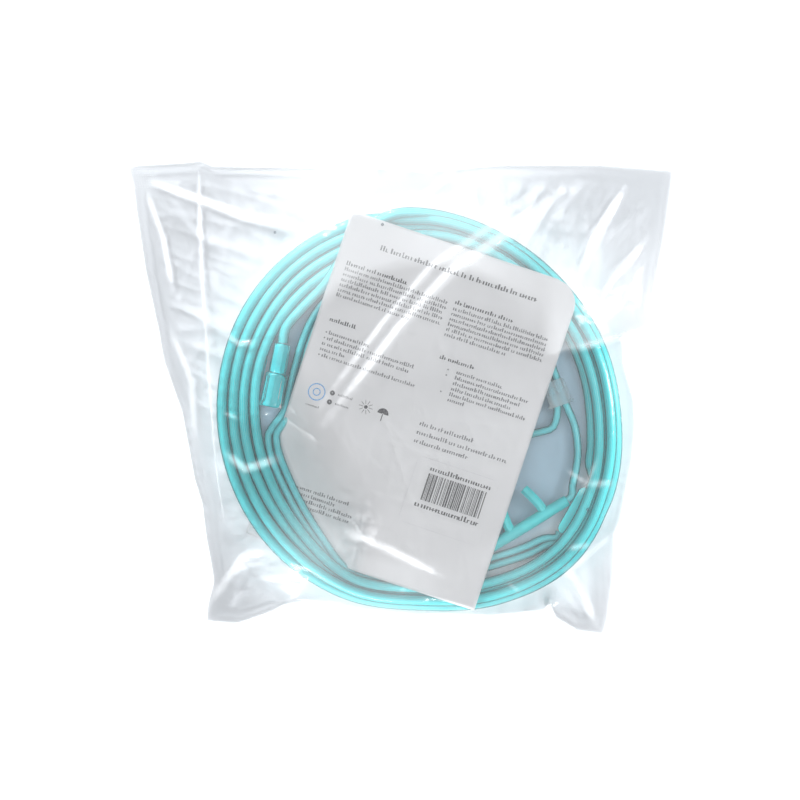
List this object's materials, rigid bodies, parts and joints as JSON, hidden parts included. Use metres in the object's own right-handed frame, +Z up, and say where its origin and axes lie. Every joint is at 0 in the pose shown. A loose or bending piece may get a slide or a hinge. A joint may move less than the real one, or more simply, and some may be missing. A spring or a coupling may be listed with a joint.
{
  "type": "packed nasal oxygen cannula",
  "caption": "Coiled sea-green nasal oxygen cannula with its paper leaflet, sealed flat in a clear pouch.",
  "frame": {"origin": "bottom centre of the bounding box, on the pouch's flat underside", "axes": "+Z up out of the printed side of the leaflet, +X to the right and +Y to the top of the pouch as the picture shows it"},
  "size_m": [0.2391, 0.2084, 0.0116],
  "materials": {
    "film": "thin clear film, soft creases",
    "paper": "smooth white leaflet",
    "supply_tubing": "clear sea-green vinyl tube",
    "ear_tubing": "clear pale sea-green vinyl tube",
    "connector_vinyl": "moulded sea-green vinyl",
    "joiner_vinyl": "moulded clear sea-green vinyl",
    "clear_plastic": "clear moulded plastic",
    "soft_vinyl": "soft translucent vinyl"
  },
  "bodies": {
    "packed_set": {"pouch": "film", "leaflet": "paper", "tube_coil": "supply_tubing", "supply_tube_end": "supply_tubing", "end_connector": "connector_vinyl", "flat_tab": "connector_vinyl", "tube_joiner": "joiner_vinyl", "ear_tube_inner": "ear_tubing", "ear_tube_outer": "ear_tubing", "nasal_piece": "soft_vinyl"},
    "adjuster": {"tube_adjuster": "clear_plastic"}
  },
  "joints": [
    {"name": "adjuster_slide", "type": "slide", "parent": "packed_set", "child": "adjuster", "axis": [0.3387, -0.9409, 0], "range_m": [-0.005, 0.005]}
  ]
}
